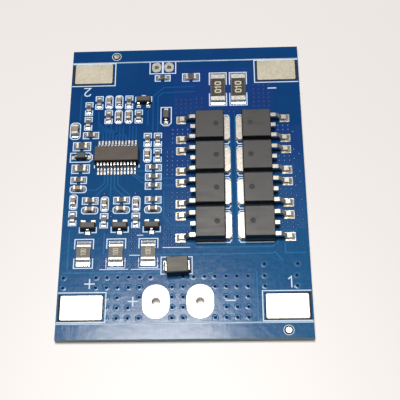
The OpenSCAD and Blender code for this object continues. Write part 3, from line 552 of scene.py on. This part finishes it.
TRACKS = [
    # from the front leads of the controller
    [(lead_x(3), front_y), (lead_x(3), 0.15), (lead_x(3) - 1.45, -1.3), (-19.0, -1.3)],
    [(lead_x(4), front_y), (lead_x(4), -0.3), (lead_x(4) - 2.1, -2.4)],
    [(lead_x(5), front_y), (lead_x(5), -2.5)],
    [(lead_x(6), front_y), (lead_x(6), -0.85), (lead_x(6) + 1.8, -2.65)],
    [(lead_x(7), front_y), (lead_x(7), -0.1), (lead_x(7) + 2.4, -2.5)],
    [(lead_x(11), front_y), (lead_x(11) + 2.0, front_y - 2.0), (-7.7, front_y - 2.0)],
    [(lead_x(12), front_y), (lead_x(12) + 1.0, front_y - 1.0), (-7.7, front_y - 1.0)],
    [(-8.9, 2.75), (-7.7, 2.75)],
    # from its back leads
    [(lead_x(12), back_y), (lead_x(12), 13.0)],
    [(lead_x(11), back_y), (lead_x(11), 13.0)],
    [(lead_x(10), back_y), (lead_x(10), 13.0)],
    [(lead_x(9), back_y), (lead_x(9), 10.6), (lead_x(9) - 0.6, 11.2), (lead_x(9) - 0.6, 13.0)],
    [(lead_x(8), back_y), (lead_x(8), 10.6), (lead_x(8) - 0.65, 11.25), (lead_x(8) - 0.65, 13.0)],
    [(lead_x(7), back_y), (lead_x(7), 10.7), (lead_x(7) - 0.7, 11.4), (lead_x(7) - 0.7, 13.0)],
    [(lead_x(6), back_y), (lead_x(6), 11.3), (lead_x(6) - 1.1, 12.4), (lead_x(6) - 1.1, 13.4)],
    [(lead_x(5), back_y), (lead_x(5), 11.4), (lead_x(5) - 1.5, 12.9), (lead_x(5) - 1.5, 13.4)],
    [(lead_x(4), back_y), (lead_x(4), 11.5), (-17.1, 13.9), (-17.1, 16.5)],
    [(lead_x(3), back_y), (lead_x(3), 11.5), (-17.2, 13.3)],
    [(lead_x(2), back_y), (lead_x(2), 11.4), (-17.1, 12.45)],
    # past the left edge and between the balance resistors
    [(-21.9, 9.8), (-21.9, -8.0)],
    [(-21.5, -17.8), (-21.5, -10.0)],
    [(-20.8, 14.5), (-20.8, 20.5), (-18.8, 22.5)],
    [(-14.9, -10.6), (-14.9, -14.8)],
    # up the middle, between the control side and the power side
    [(-6.25, 11.8), (-6.25, 20.0), (-4.2, 22.05), (2.0, 22.2)],
    [(-5.3, 11.8), (-5.3, 19.9), (-4.4, 20.8), (2.0, 20.95)],
    [(-7.3, 13.3), (-7.3, 16.5)],
    [(-4.0, -0.5), (-2.0, -0.5)],
    [(-4.0, 1.05), (-2.0, 1.05)],
    [(-3.0, -6.1), (-1.7, -6.1)],
    [(-3.9, -1.8), (-3.9, -7.0), (-2.35, -9.05), (1.0, -9.1)],
    [(18.2, -10.45), (20.9, -10.45)],
    # the sense line across the front of the power side
    [(2.2, -13.7), (16.3, -13.7), (17.35, -12.65)],
    [(-4.4, -15.1), (16.2, -15.1), (16.7, -14.8), (17.9, -16.4)],
    [(18.6, -13.2), (18.6, -15.05), (22.3, -15.05)],
    # edges of the copper under the front pads
    [(-22.3, -18.6), (-4.6, -18.6)],
    [(13.2, -28.2), (13.2, -18.8)],
    # gap between the two halves of the power side
    [(8.95, 15.2), (8.95, -12.8)],
    [(9.95, 15.2), (9.95, -12.8)],
]
bm = bmesh.new()
for points in TRACKS:
    ribbon(bm, points, TRACK_W, TOP - SUNK, TOP + TRACK_RISE)
piece("tracks", bm, TRACK)

# copper fields that carry rows of small vias
FIELDS = [
    (-3.9, -13.3, 1.3, 12.7), (17.6, -10.2, 22.6, 12.6), (-2.2, 15.4, 17.6, 26.6),
    (-10.5, -14.8, -7.9, -9.0), (-15.8, -18.2, -4.6, -15.2),
    (-13.2, -28.2, -7.7, -19.0), (-2.8, -28.2, 0.4, -19.0), (5.6, -28.2, 12.9, -19.0),
]
bm = bmesh.new()
for x0, y0, x1, y1 in FIELDS:
    slab(bm, [(x0, y0), (x1, y0), (x1, y1), (x0, y1)], TOP - SUNK, TOP + FIELD_RISE)
piece("copper_fields", bm, DENSE)

# ---------------------------------------------------------------- vias

# Places of the large vias along each row
VIA_ROWS = {
    -19.5: (
        -22.1, -16.1, -14.1, -12.1, -10.1, -8.1, -6.1,
        -0.15, 1.75, 3.75, 5.65, 7.65, 9.6, 11.6, 14.65, 20.45,
    ),
    -21.5: (
        -22.1, -16.1, -14.1, -12.1, -10.1, -8.1,
        -2.15, -0.15, 5.65, 7.65, 9.6, 11.6, 14.65, 20.45,
    ),
    -23.5: (-14.1, -12.1, -8.1, -2.15, -0.15, 7.65, 9.6, 11.6),
    -25.5: (-14.1, -12.1, -10.1, -2.15, -0.15, 7.65, 9.6, 11.6),
    -27.5: (-14.1, -12.1, -10.1, -8.1, -2.15, -0.15, 5.65, 7.65, 9.6, 11.6),
    -17.2: (20.7, 14.65),
}
# Columns and rows of the small vias, field by field
VIA_FIELDS = [
    ((-2.3, -1.35, -0.35, 0.65), (12.0, 11.0)),
    ((-2.3,), (10.0, 9.0)),
    ((-3.3, -2.3), (6.9, 5.9, 4.9, 3.9, 2.9, 1.9)),
    ((-1.35, -0.35, 0.65), (4.9, 3.9)),
    ((-2.3,), (-2.1, -3.1, -4.2, -5.2)),
    ((-1.35, -0.35, 0.65), (-2.1, -3.1)),
    ((-3.3, -2.3), (-10.45, -11.45, -12.35, -13.15)),
    ((-1.35, -0.35, 0.65), (-10.45,)),
    ((-1.45, -0.45), (-13.15,)),
    ((18.3, 19.25, 20.25), (12.5, 11.5)),
    ((18.3, 19.25, 20.25), (5.5, 4.55)),
    ((18.3, 19.25, 20.25), (-1.7, -2.7)),
    ((18.3, 19.25, 20.25), (-8.8, -9.8)),
    ((21.15,), (11.0, 7.0, 4.95, 1.0, -1.0, -3.2, -7.4, -9.3)),
    ((22.1,), (6.0, 2.1, -0.2, -4.0, -6.2, -8.2)),
    ((-9.8, -9.15, -8.25), (-9.7, -10.65)),
    ((-9.8, -9.15), (-11.5,)),
    ((-9.15,), (-12.3, -13.3, -14.2)),
    ((-9.75,), (-12.9, -13.8)),
    ((-15.15, -14.4), (-15.8, -16.8, -17.6)),
    ((-10.85, -9.4, -8.4), (-15.75, -16.75, -17.5)),
    ((-4.9,), (-15.8, -16.8)),
    ((-13.8,), (-5.9, -7.0)),
    ((-1.7, -0.7, 0.3, 1.3), (16.0, 17.0, 18.0, 19.0)),
    ((2.4, 3.4), (17.2, 18.2, 19.2)),
    ((13.8, 14.8, 15.8, 16.8), (17.2, 18.2, 19.2, 20.2, 21.2, 22.2)),
    ((7.8, 8.8, 9.8), (16.0,)),
]
# Single small vias on the control side
SINGLE_VIAS = [(-15.25, -2.1), (-9.3, -2.1), (-2.97, -6.9)]
small_vias = SINGLE_VIAS + [(x, y) for xs, ys in VIA_FIELDS for y in ys for x in xs]

# Swelling of the mask round a via, as (radius, height) from its hole outwards
VIA_SWELL = (
    (0.23, 0.0), (0.28, 0.024), (0.36, 0.03), (0.48, 0.026), (0.6, 0.014), (0.72, -0.002),
)
SMALL_VIA_SWELL = ((0.1, 0.0), (0.14, 0.03), (0.2, 0.04), (0.25, 0.03), (0.3, -0.002))
VIA_PIT_R, VIA_PIT_RISE = 0.28, 0.014
SMALL_GLINT_R, SMALL_GLINT_RISE = 0.13, 0.012
# The large vias behind this line swell less, and behind the other the painted glints of the small
# vias are weak
FLAT_ROWS_Y, FLAT_SHARE = -20.0, 0.3
FAINT_GLINTS_Y = 15.0

rims, pits = bmesh.new(), bmesh.new()
for y, xs in VIA_ROWS.items():
    share = FLAT_SHARE if y > FLAT_ROWS_Y else 1.0
    for x in xs:
        ring(rims, x, y, [(r, h * share) for r, h in VIA_SWELL], 24)
        disc(pits, x, y, VIA_PIT_R, TOP - SUNK, TOP + VIA_PIT_RISE, 16)
piece("via_rims", rims, VIA_RIM)
piece("via_pits", pits, PIT)

rims, pits, faint = bmesh.new(), bmesh.new(), bmesh.new()
for x, y in small_vias:
    ring(rims, x, y, SMALL_VIA_SWELL, 12)
    # Painted glint: a light dot in each small via, a weaker one on the back ones
    glint_dots = faint if y > FAINT_GLINTS_Y else pits
    disc(glint_dots, x, y, SMALL_GLINT_R, TOP - SUNK, TOP + SMALL_GLINT_RISE, 10)
piece("small_via_rims", rims, SMALL_RIM)
piece("small_via_painted_glints", pits, SMALL_VIA_PAINTED_GLINT)
piece("back_via_faint_painted_glints", faint, BACK_VIA_FAINT_PAINTED_GLINT)

# ---------------------------------------------------------------- open laminate round the wire pads

# Bare laminate shows round each pad, more of it towards the edge of the board
GAP, EDGE_GAP, OPENING_RISE = 0.24, 0.42, 0.01
bm = bmesh.new()
for name in ("pad_supply_plus", "pad_supply_minus", "pad_tap_1", "pad_tap_2"):
    lo, hi = node_box(name)
    x0, x1 = (lo[0] - EDGE_GAP, hi[0] + GAP) if lo[0] < 0 else (lo[0] - GAP, hi[0] + EDGE_GAP)
    y0, y1 = lo[1] - GAP, hi[1] + GAP
    slab(bm, [(x0, y0), (x1, y0), (x1, y1), (x0, y1)], TOP - SUNK, TOP + OPENING_RISE)
piece("pad_openings", bm, HOLLOW)

# ---------------------------------------------------------------- printed signs

INK_TOP = TOP + 0.045
SIGN_LINE, RULE_LINE = 0.24, 0.16
# Text, x, y, height and turn of each sign
SIGNS = [
    ("+", -17.2, -20.8, 1.7, 0), ("1", 19.3, -20.8, 2.0, 0),
    ("2", -19.6, 21.3, 1.9, 180), ("-", 17.5, 21.35, 1.5, 180),
    ("+", -9.2, -24.3, 1.6, 0), ("-", 8.4, -24.3, 1.6, 0),
]
# Plain lines of ink beside the via fields
INK_LINES = [
    [(-3.9, -13.65), (1.05, -13.7)],
    [(-15.4, -17.95), (-10.3, -17.95)],
    [(-9.6, -18.0), (-4.5, -18.0)],
    [(-8.7, -11.05), (-7.7, -11.05)],
    [(-10.0, -15.15), (-8.2, -15.15)],
]
bm = bmesh.new()
for text, x, y, size, angle in SIGNS:
    lettering(bm, text, x, y, size, SIGN_LINE, angle, TOP - INK_SUNK, INK_TOP)
for points in INK_LINES:
    ribbon(bm, points, RULE_LINE, TOP - INK_SUNK, INK_TOP)
piece("printed_signs", bm, INK)

# Line between the two sensor pads, over part of the gap
DIVIDER_SHARE = 0.6
DIVIDER_DROP = 0.004
left_pad, right_pad = node_box("pad_sensor_1"), node_box("pad_sensor_2")
if left_pad[0][0] > right_pad[0][0]:
    left_pad, right_pad = right_pad, left_pad
gap_x = (left_pad[1][0] + right_pad[0][0]) / 2
gap_w = right_pad[0][0] - left_pad[1][0]
bm = bmesh.new()
ends = [(gap_x, left_pad[0][1]), (gap_x, left_pad[1][1])]
ribbon(bm, ends, DIVIDER_SHARE * gap_w, TOP - INK_SUNK, INK_TOP - DIVIDER_DROP)
piece("sensor_divider", bm, INK)

# Value codes on the wide resistors: nodes, text, height, line and squeeze
CODE_RISE = 0.015
CODES = (
    ([f"balance_resistor_{i}" for i in BALANCE_RESISTORS], "100", 0.84, 0.13, 0.66),
    ([f"shunt_{i}" for i in SHUNTS], "010", 1.06, 0.26, 0.98),
)
glaze_top = node_box("resistor_glaze")[1][2]
bm = bmesh.new()
for names, text, size, line, squeeze in CODES:
    for name in names:
        lo, hi = node_box(name)
        x, y = (lo[0] + hi[0]) / 2, (lo[1] + hi[1]) / 2
        lettering(
            bm, text, x, y, size, line, 90, glaze_top - SUNK, glaze_top + CODE_RISE, squeeze,
        )
piece("value_codes", bm, CODE)

# Bare ring and mask edge round each sighting mark
MARK_R, CLEARING_R, CLEARING_RISE = 0.55, 0.85, 0.006
MARK_RIM = ((0.83, 0.0), (0.86, 0.012), (0.94, 0.012), (0.97, -0.002))
marks_lo, marks_hi = node_box("sight_marks")
front_mark = (marks_hi[0] - MARK_R, marks_lo[1] + MARK_R)
back_mark = (marks_lo[0] + MARK_R, marks_hi[1] - MARK_R)
clearings, edges = bmesh.new(), bmesh.new()
for x, y in (front_mark, back_mark):
    disc(clearings, x, y, CLEARING_R, TOP - SUNK, TOP + CLEARING_RISE, 32)
    ring(edges, x, y, MARK_RIM, 32)
piece("mark_clearings", clearings, HOLLOW)
piece("mark_rims", edges, INK)

# ---------------------------------------------------------------- moulded marks

# A dark disc on the floor of the round recess, which lies at the tab's end of each body: the
# right end of parts 1 to 4, and the left end of the others
RECESS_INSET, RECESS_DISC_R = 1.6, 0.53
DISC_TOP, DISC_BOTTOM = 0.05, 0.062
LAST_TAB_RIGHT = 4
bm = bmesh.new()
for i in POWER_PARTS:
    lo, hi = node_box(f"power_body_{i}")
    x = hi[0] - RECESS_INSET if i <= LAST_TAB_RIGHT else lo[0] + RECESS_INSET
    y = (lo[1] + hi[1]) / 2
    disc(bm, x, y, RECESS_DISC_R, hi[2] - DISC_BOTTOM, hi[2] - DISC_TOP, 24)
piece("mould_marks", bm, POWER_MARK)

# ---------------------------------------------------------------- stage, camera and light

# Half the width of the floor, in metres
FLOOR_HALF = 4.0
floor_mesh = bpy.data.meshes.new("floor")
fb = bmesh.new()
bmesh.ops.create_grid(fb, x_segments=1, y_segments=1, size=FLOOR_HALF)
fb.to_mesh(floor_mesh)
fb.free()
floor = bpy.data.objects.new("floor", floor_mesh)
bpy.context.scene.collection.objects.link(floor)
paper = Nodes("floor_paper")
paper.color(paper.ramp(paper.noise(3, 3), [(0.3, srgb(232, 228, 227)), (0.7, srgb(236, 233, 232))]))
paper.set(Roughness=0.4, Specular_IOR_Level=0.5)
floor_mesh.materials.append(paper.mat)

# The camera stands in front of the board and looks down and back at it; place in metres
cam_data = bpy.data.cameras.new("camera")
cam = bpy.data.objects.new("camera", cam_data)
bpy.context.scene.collection.objects.link(cam)
cam_data.sensor_width = 36.0
cam_data.lens = 88.16
cam_data.shift_x = 0.08425
cam_data.shift_y = 0.00615
cam_data.clip_start = 0.01
right = Vector((0.998298, 0.011577, -0.057152))
up = Vector((0.016666, 0.882575, 0.469877))
back = Vector((0.055881, -0.470030, 0.880880))
turn = Matrix((right, up, back)).transposed().to_4x4()
cam.matrix_world = Matrix.Translation((0.00697, -0.09134, 0.16448)) @ turn
bpy.context.scene.camera = cam


def area(name, place, target, size_x, size_y, watts, colour):
    """A rectangular lamp at a place in metres, turned to its target."""
    data = bpy.data.lights.new(name, "AREA")
    data.shape = "RECTANGLE"
    data.size = size_x
    data.size_y = size_y
    data.energy = watts
    data.color = colour
    lamp = bpy.data.objects.new(name, data)
    bpy.context.scene.collection.objects.link(lamp)
    lamp.location = place
    lamp.rotation_euler = (Vector(target) - Vector(place)).to_track_quat("-Z", "Y").to_euler()


area("overhead", (-0.05, 0.05, 1.0), (0, 0, 0), 0.5, 0.3, 5.75, (1.0, 0.985, 0.97))
# This panel behind the board is what its front rail mirrors
area("back_panel", (-0.07, 0.28, 1.0), (0, 0, 0), 0.17, 0.17, 4.1, (1.0, 0.96, 0.91))

world = bpy.data.worlds.new("world")
bpy.context.scene.world = world
world.use_nodes = True
world.node_tree.nodes["Background"].inputs["Color"].default_value = (0.93, 0.95, 1.0, 1.0)
world.node_tree.nodes["Background"].inputs["Strength"].default_value = 0.13

bpy.context.scene.view_settings.view_transform = "Standard"
